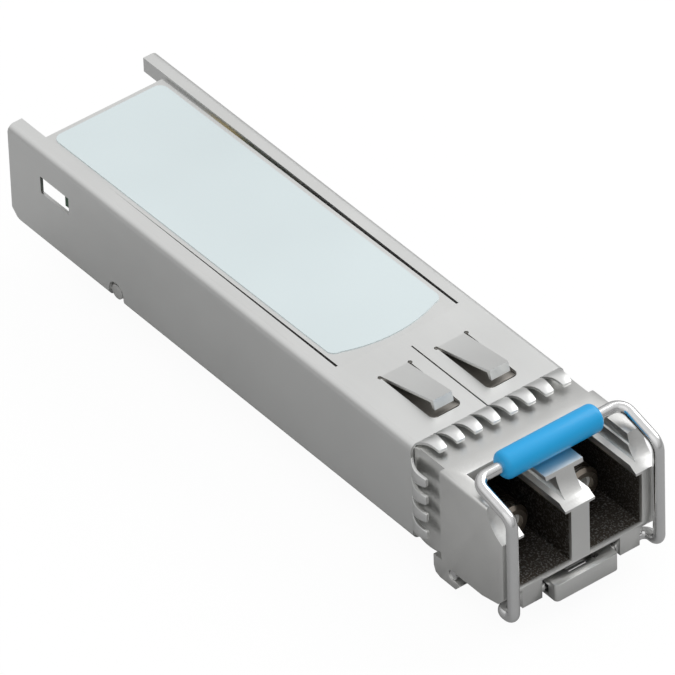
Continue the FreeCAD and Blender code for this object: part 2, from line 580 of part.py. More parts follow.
def nose_housing():
    """Die-cast nose with the ports, and the tray behind it that carries the board."""
    toe = "dims.nose_base + dims.toe_rise"
    nose = soften("nose_rounded", padded("nose_form", "XZ_Plane", [
        (NOSE_REAR, "dims.nose_base"), (f"{NOSE_FRONT} - 4 * dims.toe_chamfer", "dims.nose_base"),
        (f"{NOSE_FRONT} - dims.toe_chamfer", toe), (NOSE_FRONT, f"{toe} + dims.toe_chamfer * 1.2"),
        (NOSE_FRONT, NOSE_TOP), (NOSE_REAR, NOSE_TOP)], NOSE_WIDTH),
        dims.nose_round,
        lambda edge: edge.BoundBox.ZMin > dims.can_height / 2 and edge.BoundBox.YLength < 0.01)
    neck_start = "(dims.can_length + dims.seat_gap)"
    neck_half = f"{NOSE_WIDTH} / 2 - dims.neck_inset"
    solid = [
        nose,
        wide_block("neck_root", (neck_start, "dims.can_length + dims.finger_length / 2"), neck_half,
                   (CAST_LOW, CAST_HIGH)),
        wide_block("neck", ("dims.can_length + dims.finger_length * 0.3", f"{NOSE_REAR} + 0.1"), neck_half,
                   ("dims.nose_base", NOSE_TOP)),
        wide_block("bulkhead", (BULK_REAR, neck_start), CAST_HALF, (CAST_LOW, CAST_HIGH)),
        wide_block("tray", (TRAY_REAR, BULK_REAR), CAST_HALF,
                   (CAST_LOW, "dims.board_low + dims.tray_lip")),
        *[block(f"{name}_bearing", (f"{NOSE_FRONT} - dims.lip_depth", NOSE_FRONT),
                side_span(side, "dims.lip_inner", "dims.lip_outer"), ("dims.lip_base", "dims.port_floor"))
          for name, side in BOTH_SIDES],
        *[hook_lug(name, side) for name, side in BOTH_SIDES],
    ]
    lever_roof = "(dims.port_floor - 0.4)"
    room_roof = "(dims.lever_top + dims.lever_rise)"
    tools = [
        *gasket_blocks("groove", "0"),
        wide_block("lever_room", (f"{LEVER_REAR} - dims.play", f"{BOSS_FRONT} + 1.2"), CHANNEL,
                   ("-3", room_roof)),
        wide_block("board_recess", (f"{TRAY_REAR} - 1", f"{BOARD_FRONT} + dims.play"),
                   f"{CAST_HALF} - dims.tray_wall", ("dims.board_low", CAST_HIGH)),
        wide_block("tray_room", (f"{TRAY_REAR} + 1", BULK_REAR),
                   f"{CAST_HALF} - dims.tray_wall - dims.tray_ledge", ("dims.tray_floor", CAST_HIGH)),
        wide_block("lever_channel", (f"{LEVER_REAR} - dims.play", f"{NOSE_FRONT} + 1"), CHANNEL,
                   ("-3", lever_roof)),
        wide_block("head_channel", (f"{HEAD_REAR} - dims.play", f"{NOSE_FRONT} + 1"),
                   "dims.head_half + dims.play", ("-3", lever_roof)),
        rod("scoop", "y", "dims.scoop_radius", f"-{NOSE_WIDTH}", f"{NOSE_WIDTH} * 2",
            (SCOOP_PLACE, SCOOP_HEIGHT)),
        rod("pin_slot_end", "y", "dims.hook_slot", f"-{NOSE_WIDTH}", f"{NOSE_WIDTH} * 2",
            (PIN_PLACE, "dims.pin_height")),
        wide_block("pin_slot", (PIN_PLACE, f"{LUG_FRONT} + 0.1"), NOSE_WIDTH,
                   ("dims.pin_height - dims.hook_slot", "dims.pin_height + dims.hook_slot")),
        rod("axle_round", "y", "dims.wire / 2 + dims.slip", "-dims.lip_outer - 0.1",
            "dims.lip_outer * 2 + 0.2", (AXLE_PLACE, "dims.axle_height")),
        wide_block("axle_groove", (f"{AXLE_PLACE} - dims.wire / 2 - dims.slip",
                                   f"{AXLE_PLACE} + dims.wire / 2 + dims.slip"),
                   "dims.lip_outer + 0.1", ("dims.lip_base - 1", "dims.axle_height")),
    ]
    for name, side in BOTH_SIDES:
        tools += port_tools(name, side)
        tools.append(rod(f"{name}_screw_hole", "z", "dims.screw_radius", CAST_LOW, "dims.board_low",
                         (SCREW_PLACE, f"{side} * {SCREW_SIDE}")))
    body = carve("housing_cut", join("housing_solid", solid), tools)
    added = []
    for name, side in BOTH_SIDES:
        post = rod(f"{name}_post_solid", "z", "dims.post_radius", f"{CAST_LOW} + 0.1",
                   f"dims.board_low - {CAST_LOW} - 0.1", (SCREW_PLACE, f"{side} * {SCREW_SIDE}"))
        hole = rod(f"{name}_post_hole", "z", "dims.screw_radius", f"{CAST_LOW} + 0.5",
                   "dims.board_low", (SCREW_PLACE, f"{side} * {SCREW_SIDE}"))
        added.append(carve(f"{name}_post", post, [hole]))
        start = f"{CAST_HALF} - 0.2" if side > 0 else f"-({CAN_HALF} - dims.seat_gap)"
        added.append(rod(f"{name}_snap_stud", "y", "dims.snap_radius - 0.25", start,
                         "dims.sheet + 0.2", (SNAP_PLACE, "dims.snap_radius")))
    cover = wide_block("cover_form", (f"{LEVER_REAR} - dims.play * 2", f"{BULK_REAR} + 0.1"),
                       f"{CHANNEL} + 0.3", ("dims.tray_floor - 0.1", f"{room_roof} + 0.25"))
    room = wide_block("cover_room", (f"{LEVER_REAR} - dims.play", f"{BULK_REAR} + 1"), CHANNEL,
                      ("0", room_roof))
    added.append(carve("lever_cover", cover, [room]))
    return join("nose_housing", [body, *added])


def gasket_blocks(name, gap):
    """Three runs of the gasket's groove over the bulkhead; gap keeps them off the can."""
    span = (f"{BULK_REAR} + 0.5", f"{BULK_REAR} + 1.4")
    outer = f"({CAN_INNER} - {gap})"
    floor = f"({CAST_HALF} - dims.gasket_depth)"
    low, high = "2.5", f"(dims.can_height - dims.sheet - {gap})"
    runs = [wide_block(f"{name}_over", span, outer, (f"{CAST_HIGH} - dims.gasket_depth", high))]
    for side_name, side in BOTH_SIDES:
        runs.append(block(f"{name}_{side_name}", span, side_span(side, floor, outer), (low, high)))
    return runs


# Fibre subassemblies
def receptacle(name, side):
    """Metal receptacle barrel with its flange, clamping groove and blind ferrule bore."""
    seat = "(dims.bore_radius + dims.sleeve_wall)"
    deep = f"({BARREL_FRONT} - dims.sleeve_depth)"
    return turned(name, [
        (HOLDER_REAR, "0"), (HOLDER_REAR, "dims.header_radius - 0.2"),
        (GROOVE_REAR, "dims.header_radius - 0.2"), (GROOVE_REAR, "dims.neck_radius"),
        (FLANGE_REAR, "dims.neck_radius"), (FLANGE_REAR, "dims.flange_radius"),
        (BULK_REAR, "dims.flange_radius"), (BULK_REAR, "dims.barrel_radius"),
        (f"{BARREL_FRONT} - 0.25", "dims.barrel_radius"), (BARREL_FRONT, "dims.barrel_radius - 0.25"),
        (BARREL_FRONT, seat), (deep, seat), (deep, "0")],
        f"{side} * {FIBRE}", "dims.fibre_height")


def header(name, side):
    """Round metal header that carries the laser or photodiode behind the barrel."""
    return turned(name, [
        (HEADER_REAR, "0"), (HEADER_REAR, "dims.header_radius - 0.15"),
        (f"{HEADER_REAR} + 0.15", "dims.header_radius"), (f"{HOLDER_REAR} - 0.3", "dims.header_radius"),
        (f"{HOLDER_REAR} - 0.3", "dims.header_radius - 0.35"), (HOLDER_REAR, "dims.header_radius - 0.35"),
        (HOLDER_REAR, "0")], f"{side} * {FIBRE}", "dims.fibre_height")


def header_leads():
    """Four leads on each header, as far as the flexible circuits."""
    leads = []
    for name, side in BOTH_SIDES:
        for i in range(4):
            angle = math.radians(45 + 90 * i)
            across = (f"{side} * {FIBRE} + {math.cos(angle):.4f} * dims.lead_circle",
                      f"dims.fibre_height + {math.sin(angle):.4f} * dims.lead_circle")
            leads.append(rod(f"{name}_lead_{i}", "x", "dims.lead_radius", f"{HEADER_REAR} - dims.lead_length",
                             "dims.lead_length", across))
    return join("header_leads", leads)


def ferrule_sleeves():
    """Ceramic sleeves inside the barrels."""
    sleeves = []
    for name, side in BOTH_SIDES:
        across = (f"{side} * {FIBRE}", "dims.fibre_height")
        start = f"{BARREL_FRONT} - dims.sleeve_depth"
        length = "dims.sleeve_depth - dims.sleeve_inset"
        tube = rod(f"{name}_sleeve_tube", "x", "dims.bore_radius + dims.sleeve_wall", start, length, across)
        bore = rod(f"{name}_sleeve_bore", "x", "dims.bore_radius", f"{start} - 1", f"{length} + 2", across)
        sleeves.append(carve(f"{name}_sleeve", tube, [bore]))
    return join("ferrule_sleeves", sleeves)


def optics_clamp():
    """Yoke plate in the grooves of both barrels, open at the top, that holds them to the bulkhead."""
    inset = 0.15
    span = (f"{GROOVE_REAR} + {inset}", f"{FLANGE_REAR} - {inset}")
    plate = wide_block("clamp_plate", span, f"{CAST_HALF} - dims.tray_wall - dims.tray_ledge - {inset}",
                       ("dims.tray_floor", "dims.can_height - dims.sheet * 4"))
    tools = [wide_block("clamp_arch", (f"{GROOVE_REAR} - 1", f"{FLANGE_REAR} + 1"), f"{CHANNEL} + 0.4",
                        ("0", "dims.lever_top + dims.lever_rise + 0.35"))]
    for name, side in BOTH_SIDES:
        radius = "(dims.neck_radius + dims.slip)"
        tools.append(rod(f"{name}_clamp_round", "x", radius, f"{GROOVE_REAR} - 1", "dims.neck_length + 2",
                         (f"{side} * {FIBRE}", "dims.fibre_height")))
        tools.append(block(f"{name}_clamp_slot", (f"{GROOVE_REAR} - 1", f"{FLANGE_REAR} + 1"),
                           (f"{side} * {FIBRE} - {radius}", f"{side} * {FIBRE} + {radius}"),
                           ("dims.fibre_height", "dims.can_height")))
    return carve("optics_clamp", plate, tools)


def flex_circuit(name, side):
    """Flexible circuit from a header's leads down to the board."""
    thick, half_width = 0.12, 1.8
    lead_end = dims.port_wall - dims.bulkhead - dims.flange_thick - dims.neck_length
    lead_end -= dims.holder_length + dims.header_thick + dims.lead_length + thick / 2
    drop = dims.fibre_height - dims.board_low - dims.board_thick - thick / 2
    start = V(lead_end, 0, 1.6)
    path = bent_path([start, V(lead_end, 0, -drop), V(-dims.board_behind - 3.5, 0, -drop)], [0.6])
    corners = [(-thick / 2, -half_width), (thick / 2, -half_width), (thick / 2, half_width),
               (-thick / 2, half_width)]
    section = Part.makePolygon([start + V(x, y, 0) for x, y in corners + corners[:1]])
    return shaped(name, path.makePipeShell([section], True, False),
                  ("dims.can_length", f"{side} * {FIBRE}", "dims.fibre_height"))


# Board and what is on it
def circuit_board():
    """Board with a narrow plug-in tail and two screw holes."""
    body = doc.addObject("PartDesign::Body", "circuit_board")
    tail_end = "dims.board_rear + dims.tail_length"
    half = [("dims.board_rear", "dims.tail_half - 0.4"), ("dims.board_rear + 0.4", "dims.tail_half"),
            (tail_end, "dims.tail_half"), (tail_end, BOARD_HALF), (BOARD_FRONT, BOARD_HALF)]
    points = half + [(across, f"-({up})") for across, up in reversed(half)]
    pad = body.newObject("PartDesign::Pad", "board_pad")
    pad.Profile = outline(body, "XY_Plane", "board_outline", points)
    pad.setExpression("Length", "dims.board_thick")
    holes = body.newObject("Sketcher::SketchObject", "board_holes")
    plane = next(f for f in body.Origin.OriginFeatures if f.Role == "XY_Plane")
    holes.AttachmentSupport = [(plane, "")]
    holes.MapMode = "FlatFace"
    for i, (name, side) in enumerate(BOTH_SIDES):
        holes.addGeometry(Part.Circle(V(10, 3 * side, 0), UP, 1), False)
        for kind, place in (("DistanceX", SCREW_PLACE), ("DistanceY", f"{side} * {SCREW_SIDE}")):
            start = 10 if kind == "DistanceX" else 3 * side
            index = holes.addConstraint(Sketcher.Constraint(kind, -1, 1, i, 3, start))
            holes.setExpression(f"Constraints[{index}]", place)
        index = holes.addConstraint(Sketcher.Constraint("Radius", i, 1))
        holes.setExpression(f"Constraints[{index}]", "dims.screw_radius + dims.slip * 2")
    pocket = body.newObject("PartDesign::Pocket", "board_pocket")
    pocket.Profile = holes
    pocket.Type = "ThroughAll"
    pocket.Reversed = True
    body.setExpression("Placement.Base.z", "dims.board_low")
    return body


def edge_contacts():
    """Ten gold contacts on each face of the board's tail."""
    pads = []
    faces = (("upper", BOARD_TOP, f"{BOARD_TOP} + dims.pad_thick"),
             ("lower", "dims.board_low - dims.pad_thick", "dims.board_low"))
    for name, low, high in faces:
        for i in range(10):
            middle = f"({i - 4.5} * dims.pad_pitch)"
            pads.append(block(f"{name}_contact_{i}",
                              ("dims.board_rear + 0.4", "dims.board_rear + 0.4 + dims.pad_length"),
                              (f"{middle} - dims.pad_width / 2", f"{middle} + dims.pad_width / 2"),
                              (low, high)))
    return join("edge_contacts", pads)


def component(name, sizes, along="0", mirror=1):
    """A block on the board with the named sizes, moved along the board or mirrored across it."""
    middle = f"(dims.board_rear + dims.{sizes}_place + {along})"
    side = f"({mirror} * dims.{sizes}_side)"
    return block(name, (f"{middle} - dims.{sizes}_long / 2", f"{middle} + dims.{sizes}_long / 2"),
                 (f"{side} - dims.{sizes}_wide / 2", f"{side} + dims.{sizes}_wide / 2"),
                 (BOARD_TOP, f"{BOARD_TOP} + dims.{sizes}_tall"))


def passives():
    """Small capacitors and resistors in a row along each edge of the board."""
    parts = [component(f"{name}_passive_{i}", "passive", f"{i} * dims.passive_pitch", side)
             for name, side in BOTH_SIDES for i in range(6)]
    return join("passives", parts)


def heat_path():
    """Soft pad on the laser driver and the aluminium bridge from it to the can."""
    middle = "(dims.board_rear + dims.laser_driver_place)"
    pad_base = f"({BOARD_TOP} + dims.laser_driver_tall)"
    pad_top = f"({pad_base} + dims.heat_pad_thick)"
    span = (f"{middle} - dims.heat_pad_half", f"{middle} + dims.heat_pad_half")
    pad = wide_block("thermal_pad", span, "dims.heat_pad_half", (pad_base, pad_top))
    foot = wide_block("bridge_post", span, "dims.heat_pad_half", (pad_top, f"{pad_top} + dims.bridge_foot"))
    plate_slope = f"dims.plate_sag / ({PLATE_FRONT} - dims.plate_rear)"
    plate_base = (f"dims.can_height - dims.sheet - dims.plate_sag"
                  f" + ({middle} - dims.bridge_half_length - dims.plate_rear) * {plate_slope}")
    wing_rear = f"{middle} - dims.bridge_half_length"
    wing = wide_block("bridge_plate", (wing_rear, f"{middle} + dims.bridge_half_length"),
                      "dims.bridge_half_width",
                      (f"{pad_top} + dims.bridge_foot - 0.1", f"{plate_base} - dims.bridge_gap"))
    return pad, join("heat_bridge", [foot, wing])


def board_screws():
    """Two pan-head screws with cross recesses that hold the board to the tray."""
    screws = []
    for name, side in BOTH_SIDES:
        across = (SCREW_PLACE, f"{side} * {SCREW_SIDE}")
        head = rod(f"{name}_screw_head", "z", "dims.screw_radius * 1.6", BOARD_TOP, "dims.screw_radius * 0.7",
                   across)
        shank = rod(f"{name}_screw_shank", "z", "dims.screw_radius", f"{CAST_LOW} + 0.6",
                    f"{BOARD_TOP} - {CAST_LOW} - 0.5", across)
        slots = [block(f"{name}_recess_{i}",
                       (f"{SCREW_PLACE} - {long}", f"{SCREW_PLACE} + {long}"),
                       (f"{side} * {SCREW_SIDE} - {short}", f"{side} * {SCREW_SIDE} + {short}"),
                       (f"{BOARD_TOP} + dims.screw_radius * 0.35", f"{BOARD_TOP} + {BEYOND}"))
                 for i, (long, short) in enumerate(((0.6, 0.12), (0.12, 0.6)))]
        screws.append(carve(f"{name}_screw", join(f"{name}_screw_solid", [head, shank]), slots))
    return join("board_screws", screws)


def emi_gasket():
    """Conductive elastomer strip over the bulkhead, against the can's inner faces."""
    return soften("emi_gasket", join("gasket_runs", gasket_blocks("gasket", "dims.slip / 2")), 0.25,
                  lambda edge: runs_along(V(1, 0, 0))(edge) and edge.BoundBox.ZMin > dims.can_height - 0.4)


# Bail
def bail_wire():
    """Bent steel wire: cross bar, two legs, and axle ends with eccentric journals that work the lever."""
    half = dims.can_width / 2 + dims.nose_overhang - dims.leg_inset
    nose_top = dims.can_height - dims.nose_step - dims.axle_height
    axle, leg = -dims.axle_behind, dims.leg_ahead
    side_run = [V(axle, dims.axle_inner, 0), V(axle, half, 0), V(leg, half, 0),
                V(leg, half, nose_top + dims.knee_above),
                V(-dims.bar_behind, half, nose_top + dims.bar_above)]
    corners = [V(p.x, -p.y, p.z) for p in side_run] + side_run[::-1]
    tight, loose = dims.wire * 0.75, dims.wire * 1.1
    path = bent_path(corners, [tight, tight, loose, loose, loose, loose, tight, tight])
    ring = Part.Wire(Part.makeCircle(dims.wire / 2, corners[0], V(0, 1, 0)))
    wire = path.makePipeShell([ring], True, False)
    shift = dims.cam_offset * math.sqrt(0.5)
    journal_axis = V(axle + shift, 0, shift)
    gap_low, gap_high = 0.8, 1.6
    spans = ((-dims.axle_inner - 0.1, gap_low), (gap_high, dims.axle_inner + 0.1))
    journals = [Part.makeCylinder(dims.cam_radius, end - start, journal_axis + V(0, start, 0), V(0, 1, 0))
                for start, end in spans]
    return shaped("bail_wire", wire.fuse(journals).removeSplitter(), (NOSE_FRONT, "0", "dims.axle_height"))


def bail_sleeve():
    """Coloured plastic grip sleeve on the cross bar, with rounded ends."""
    body = doc.addObject("PartDesign::Body", "bail_sleeve")
    end, bore, turn = "dims.grip_length / 2", "dims.wire / 2 + dims.slip / 2", 0.3
    points = [(end, bore), (end, f"dims.grip_radius - {turn}"), (f"{end} - {turn}", "dims.grip_radius"),
              (f"-({end} - {turn})", "dims.grip_radius"), (f"-({end})", f"dims.grip_radius - {turn}"),
              (f"-({end})", bore)]
    sketch = outline(body, "XY_Plane", "sleeve_profile", points)
    revolution = body.newObject("PartDesign::Revolution", "sleeve_turn")
    revolution.Profile = sketch
    revolution.ReferenceAxis = (sketch, ["H_Axis"])
    revolution.Angle = 360
    body.Placement.Rotation = FreeCAD.Rotation(UP, 90)
    body.setExpression("Placement.Base.x", BAR_PLACE)
    body.setExpression("Placement.Base.z", BAR_HEIGHT)
    return body


# Latch
def latch_lever():
    """Rocking latch lever: boss at the rear, hub on the fulcrum pin, forked head around the journals."""
    boss_rear = f"({BOSS_FRONT} - dims.boss_length)"
    hub = (f"({PIN_PLACE} - dims.hub_half)", f"({PIN_PLACE} + dims.hub_half)")
    hub_base = "dims.pin_height - dims.hub_half"
    arm = padded("lever_arm", "XZ_Plane", [
        (LEVER_REAR, "dims.lever_top"), (LEVER_REAR, "0.15"), (boss_rear, "0"),
        (f"{BOSS_FRONT} - 0.5", "-dims.boss_drop"), (BOSS_FRONT, "-dims.boss_drop"),
        (BOSS_FRONT, "0"), (hub[0], "0"), (hub[0], f"{hub_base} + 0.3"),
        (f"{hub[0]} + 0.3", hub_base), (f"{hub[1]} - 0.3", hub_base), (hub[1], f"{hub_base} + 0.3"),
        (hub[1], "0"), (f"{HEAD_REAR} + 0.5", "0"), (f"{HEAD_REAR} + 0.5", "dims.lever_top")],
        "dims.lever_half * 2")
    nose_front = dims.can_length + dims.neck_reach + dims.nose_length
    head = soften("lever_head", wide_block("head_form", (HEAD_REAR, HEAD_FRONT),
                                           "dims.head_half", ("dims.head_base", "dims.head_top")), 0.3,
                  lambda edge: runs_along(UP)(edge) and edge.BoundBox.XMin > nose_front)
    shift = f"{math.sqrt(0.5):.5f} * dims.cam_offset"
    journal = (f"({AXLE_PLACE} + {shift})", f"(dims.axle_height + {shift})")
    reach = "(dims.cam_radius + dims.play - dims.slip)"
    tools = [
        wide_block("journal_tunnel", (f"{journal[0]} - {reach}", f"{journal[0]} + {reach}"),
                   "dims.head_half + 1",
                   (f"{journal[1]} - dims.cam_radius - dims.slip",
                    f"{journal[1]} + dims.cam_radius + dims.slip")),
        block("head_recess", (f"{journal[0]} - {reach}", f"{HEAD_FRONT} - 0.7"), ("-1.1", "1.6"),
              (f"{journal[1]}", "dims.head_top + 1")),
        rod("hub_bore", "y", "dims.pin_radius + dims.slip", f"-{NOSE_WIDTH}", f"{NOSE_WIDTH} * 2",
            (PIN_PLACE, "dims.pin_height")),
    ]
    return carve("latch_lever", join("lever_solid", [arm, head]), tools)


def lever_spring():
    """Arched leaf between the lever's arm and the roof of its channel."""
    thick, half_width = 0.1, 1.1
    tall = dims.lever_rise - 0.02
    start = -dims.boss_behind - dims.boss_length + 0.1
    end = dims.port_wall - dims.bulkhead - 0.1
    middle = (start + end) / 2
    upper = Part.Arc(V(start, -half_width, tall), V(middle, -half_width, thick), V(end, -half_width, tall))
    lower = Part.Arc(V(start, -half_width, tall - thick), V(middle, -half_width, 0),
                     V(end, -half_width, tall - thick))
    edges = [upper, Part.LineSegment(upper.EndPoint, lower.EndPoint), lower,
             Part.LineSegment(lower.StartPoint, upper.StartPoint)]
    profile = Part.Face(Part.Wire(Part.__sortEdges__([edge.toShape() for edge in edges])))
    return shaped("lever_spring", profile.extrude(V(0, 2 * half_width, 0)),
                  ("dims.can_length", "0", "dims.lever_top + 0.01"))


def lever_pin():
    """Steel fulcrum pin across the nose, held in the two hook lugs."""
    return rod("lever_pin", "y", "dims.pin_radius", f"0.1 - {NOSE_WIDTH} / 2", f"{NOSE_WIDTH} - 0.2",
               (PIN_PLACE, "dims.pin_height"))


pad, bridge = heat_path()
pieces = [
    outer_can(), label(), nose_housing(), emi_gasket(),
    receptacle("transmitter_barrel", -1), receptacle("receiver_barrel", 1),
    header("laser_header", -1), header("diode_header", 1), header_leads(), ferrule_sleeves(),
    optics_clamp(), flex_circuit("transmitter_flex", -1), flex_circuit("receiver_flex", 1),
    circuit_board(), edge_contacts(), board_screws(), passives(), pad, bridge,
    *[component(name, name) for name in COMPONENTS if name != "passive"],
    bail_wire(), bail_sleeve(), latch_lever(), lever_spring(), lever_pin(),
]
doc.recompute()

for item in doc.Objects:
    if {"Invalid", "Error"} & set(item.State):
        raise RuntimeError(f"{item.Name} could not be worked out: {item.State}")
os.makedirs("parts", exist_ok=True)
for piece in pieces:
    shape = piece.Shape
    if shape.isNull() or not shape.isValid() or not shape.Solids:
        raise RuntimeError(f"{piece.Label} has no valid solid")
    print(f"{piece.Label}: {len(shape.Solids)} solids, {shape.Volume:.3f} mm3")
for piece in pieces:
    piece.Shape.exportStep(f"parts/{piece.Label}.step")
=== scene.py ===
import json
import math

import bpy
from mathutils import Matrix, Vector

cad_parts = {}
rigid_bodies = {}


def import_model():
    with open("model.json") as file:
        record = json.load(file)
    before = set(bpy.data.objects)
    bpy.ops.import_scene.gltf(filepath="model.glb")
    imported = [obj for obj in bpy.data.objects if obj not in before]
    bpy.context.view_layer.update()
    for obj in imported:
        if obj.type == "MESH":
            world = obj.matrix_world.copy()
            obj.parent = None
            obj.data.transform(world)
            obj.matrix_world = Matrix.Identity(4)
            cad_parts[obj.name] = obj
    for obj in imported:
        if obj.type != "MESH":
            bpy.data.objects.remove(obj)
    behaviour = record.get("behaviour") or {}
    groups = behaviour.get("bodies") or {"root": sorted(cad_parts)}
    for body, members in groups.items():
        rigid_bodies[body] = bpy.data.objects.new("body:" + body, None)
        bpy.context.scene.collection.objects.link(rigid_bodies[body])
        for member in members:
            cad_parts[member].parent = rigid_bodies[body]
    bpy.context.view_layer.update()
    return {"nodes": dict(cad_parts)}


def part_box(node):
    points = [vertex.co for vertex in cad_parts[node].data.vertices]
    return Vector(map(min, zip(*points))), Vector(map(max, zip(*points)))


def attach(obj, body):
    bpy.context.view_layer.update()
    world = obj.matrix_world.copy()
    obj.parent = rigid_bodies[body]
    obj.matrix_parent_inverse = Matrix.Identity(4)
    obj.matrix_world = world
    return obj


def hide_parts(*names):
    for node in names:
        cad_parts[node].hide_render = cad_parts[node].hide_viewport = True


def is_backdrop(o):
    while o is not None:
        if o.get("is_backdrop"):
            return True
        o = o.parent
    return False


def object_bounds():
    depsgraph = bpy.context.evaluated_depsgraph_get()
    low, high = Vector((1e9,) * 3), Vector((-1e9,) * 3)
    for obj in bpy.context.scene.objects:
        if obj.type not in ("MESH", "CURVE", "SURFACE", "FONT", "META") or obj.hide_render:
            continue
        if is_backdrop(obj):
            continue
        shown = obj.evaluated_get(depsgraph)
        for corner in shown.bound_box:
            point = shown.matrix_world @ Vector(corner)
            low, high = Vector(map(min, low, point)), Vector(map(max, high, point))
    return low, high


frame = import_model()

bl_info = {
    "name": "Optical transceiver module",
    "version": (1, 0, 0),
    "blender": (4, 5, 0),
    "location": "View3D > Sidebar > Transceiver",
    "description": "Dresses the packed model of a pluggable optical transceiver with a bail latch",
    "category": "Object",
}

MM = 0.001
UPWARD = Vector((0, 0, 1))
IMAGE_SIZE = 675
SMOOTH_ANGLE = math.radians(32)

# The can's outline, and how many spring fingers stand side by side on its rim
CAN_WIDTH = 13.55 * MM
CAN_HEIGHT = 8.5 * MM
FINGERS_ACROSS = 8
FINGERS_UP = 4

# Hollows of the nose where painted shade darkens the casting: from and to beside the middle, in height, and
# behind the nose's front face
PORT_HOLLOW = ((0.79 * MM, 5.46 * MM), (1.38 * MM, 5.91 * MM), (0.06 * MM, 0.35 * MM))
BACK_HOLLOW = ((0.0, 5.62 * MM), (1.38 * MM, 7.56 * MM), (5.2 * MM, 5.5 * MM))

# The point the camera looks at, and how far the picture's middle lies right of it and above it
AIM_POINT = Vector((28.0, 0.0, 4.2)) * MM
PICTURE_SHIFT = (0.90 * MM, -0.97 * MM)

# Places and sizes of the lamps, and the point they shine on
KEY_PLACE, KEY_SIZE = Vector((20, 395, 300)) * MM, 0.45
FILL_PLACE, FILL_SIZE = Vector((260, -330, 260)) * MM, 0.80
LAMP_TARGET = Vector((30, 0, 4)) * MM


class TransceiverFinish(bpy.types.PropertyGroup):
    """Colours and edge sizes of the module."""
    sheet_color: bpy.props.FloatVectorProperty(
        name="Can", description="Nickel-plated sheet", subtype="COLOR", size=3, default=(0.83, 0.835, 0.825))
    cast_color: bpy.props.FloatVectorProperty(
        name="Casting", description="Nickel-plated casting", subtype="COLOR", size=3,
        default=(0.80, 0.80, 0.785))
    # Painted shade: this dark colour stands in for the shade deep inside the fibre ports and behind the
    # roof's notch
    port_shade_color: bpy.props.FloatVectorProperty(
        name="Port", description="Unplated inner walls of the fibre ports", subtype="COLOR", size=3,
        default=(0.075, 0.064, 0.052))
    wire_color: bpy.props.FloatVectorProperty(
        name="Wire", description="Polished steel wire", subtype="COLOR", size=3, default=(0.80, 0.80, 0.80))
    grip_color: bpy.props.FloatVectorProperty(
        name="Grip", description="Blue plastic of the grip sleeve", subtype="COLOR", size=3,
        default=(0.006, 0.42, 0.86))
    label_color: bpy.props.FloatVectorProperty(
        name="Label", description="Label film", subtype="COLOR", size=3, default=(0.745, 0.835, 0.852))
    cast_round: bpy.props.FloatProperty(
        name="Casting edge", description="Rounding of the casting's edges", unit="LENGTH",
        default=0.07 * MM, min=0.0)
    lever_round: bpy.props.FloatProperty(
        name="Lever edge", description="Rounding of the lever's edges", unit="LENGTH",
        default=0.06 * MM, min=0.0)
    grip_round: bpy.props.FloatProperty(
        name="Grip end", description="Rounding of the grip sleeve's ends", unit="LENGTH",
        default=0.45 * MM, min=0.0)
    can_edge: bpy.props.FloatProperty(
        name="Can edge", description="Front edge of the can, where the spring fingers start", unit="LENGTH",
        default=46.4 * MM)
    finger_pitch: bpy.props.FloatProperty(
        name="Finger pitch", description="Distance between two spring fingers", unit="LENGTH",
        default=1.57 * MM, min=0.5 * MM)
    sheet: bpy.props.FloatProperty(
        name="Sheet", description="Thickness of the can's sheet", unit="LENGTH", default=0.25 * MM,
        min=0.05 * MM)
    grain: bpy.props.FloatProperty(
        name="Grain", description="Strength of the metal's grain", default=1.0, min=0.0, max=3.0)


class TransceiverStage(bpy.types.PropertyGroup):
    """Camera, lamps and background."""
    azimuth: bpy.props.FloatProperty(
        name="Azimuth", description="Camera's angle round the module", subtype="ANGLE",
        default=math.radians(53.22))
    elevation: bpy.props.FloatProperty(
        name="Elevation", description="Camera's height angle", subtype="ANGLE", default=math.radians(39.46))
    roll: bpy.props.FloatProperty(
        name="Roll", description="Camera's turn about its line of sight", subtype="ANGLE",
        default=math.radians(-2.08))
    distance: bpy.props.FloatProperty(
        name="Distance", description="Camera to the aim point", unit="LENGTH", default=715.6 * MM)
    focal_pixels: bpy.props.FloatProperty(
        name="Focal length", description="Focal length in pixels of the picture", default=10171.5)
    floor_drop: bpy.props.FloatProperty(
        name="Floor drop", description="Room under the module for the opened bail", unit="LENGTH",
        default=1.0 * MM, min=0.0)
    key_power: bpy.props.FloatProperty(
        name="Key lamp", description="Power of the key lamp", default=0.95, min=0.0)
    fill_power: bpy.props.FloatProperty(
        name="Fill lamp", description="Power of the fill lamp", default=0.35, min=0.0)


class Shade:
    """A node's output; Python's operators add Math nodes to it."""

    def __init__(self, finish, socket):
        self.finish = finish
        self.socket = socket

    def __add__(self, other):
        return self.finish.math("ADD", self, other)

    def __sub__(self, other):
        return self.finish.math("SUBTRACT", self, other)

    def __rsub__(self, other):
        return self.finish.math("SUBTRACT", other, self)

    def __mul__(self, other):
        return self.finish.math("MULTIPLY", self, other)

    __radd__ = __add__
    __rmul__ = __mul__


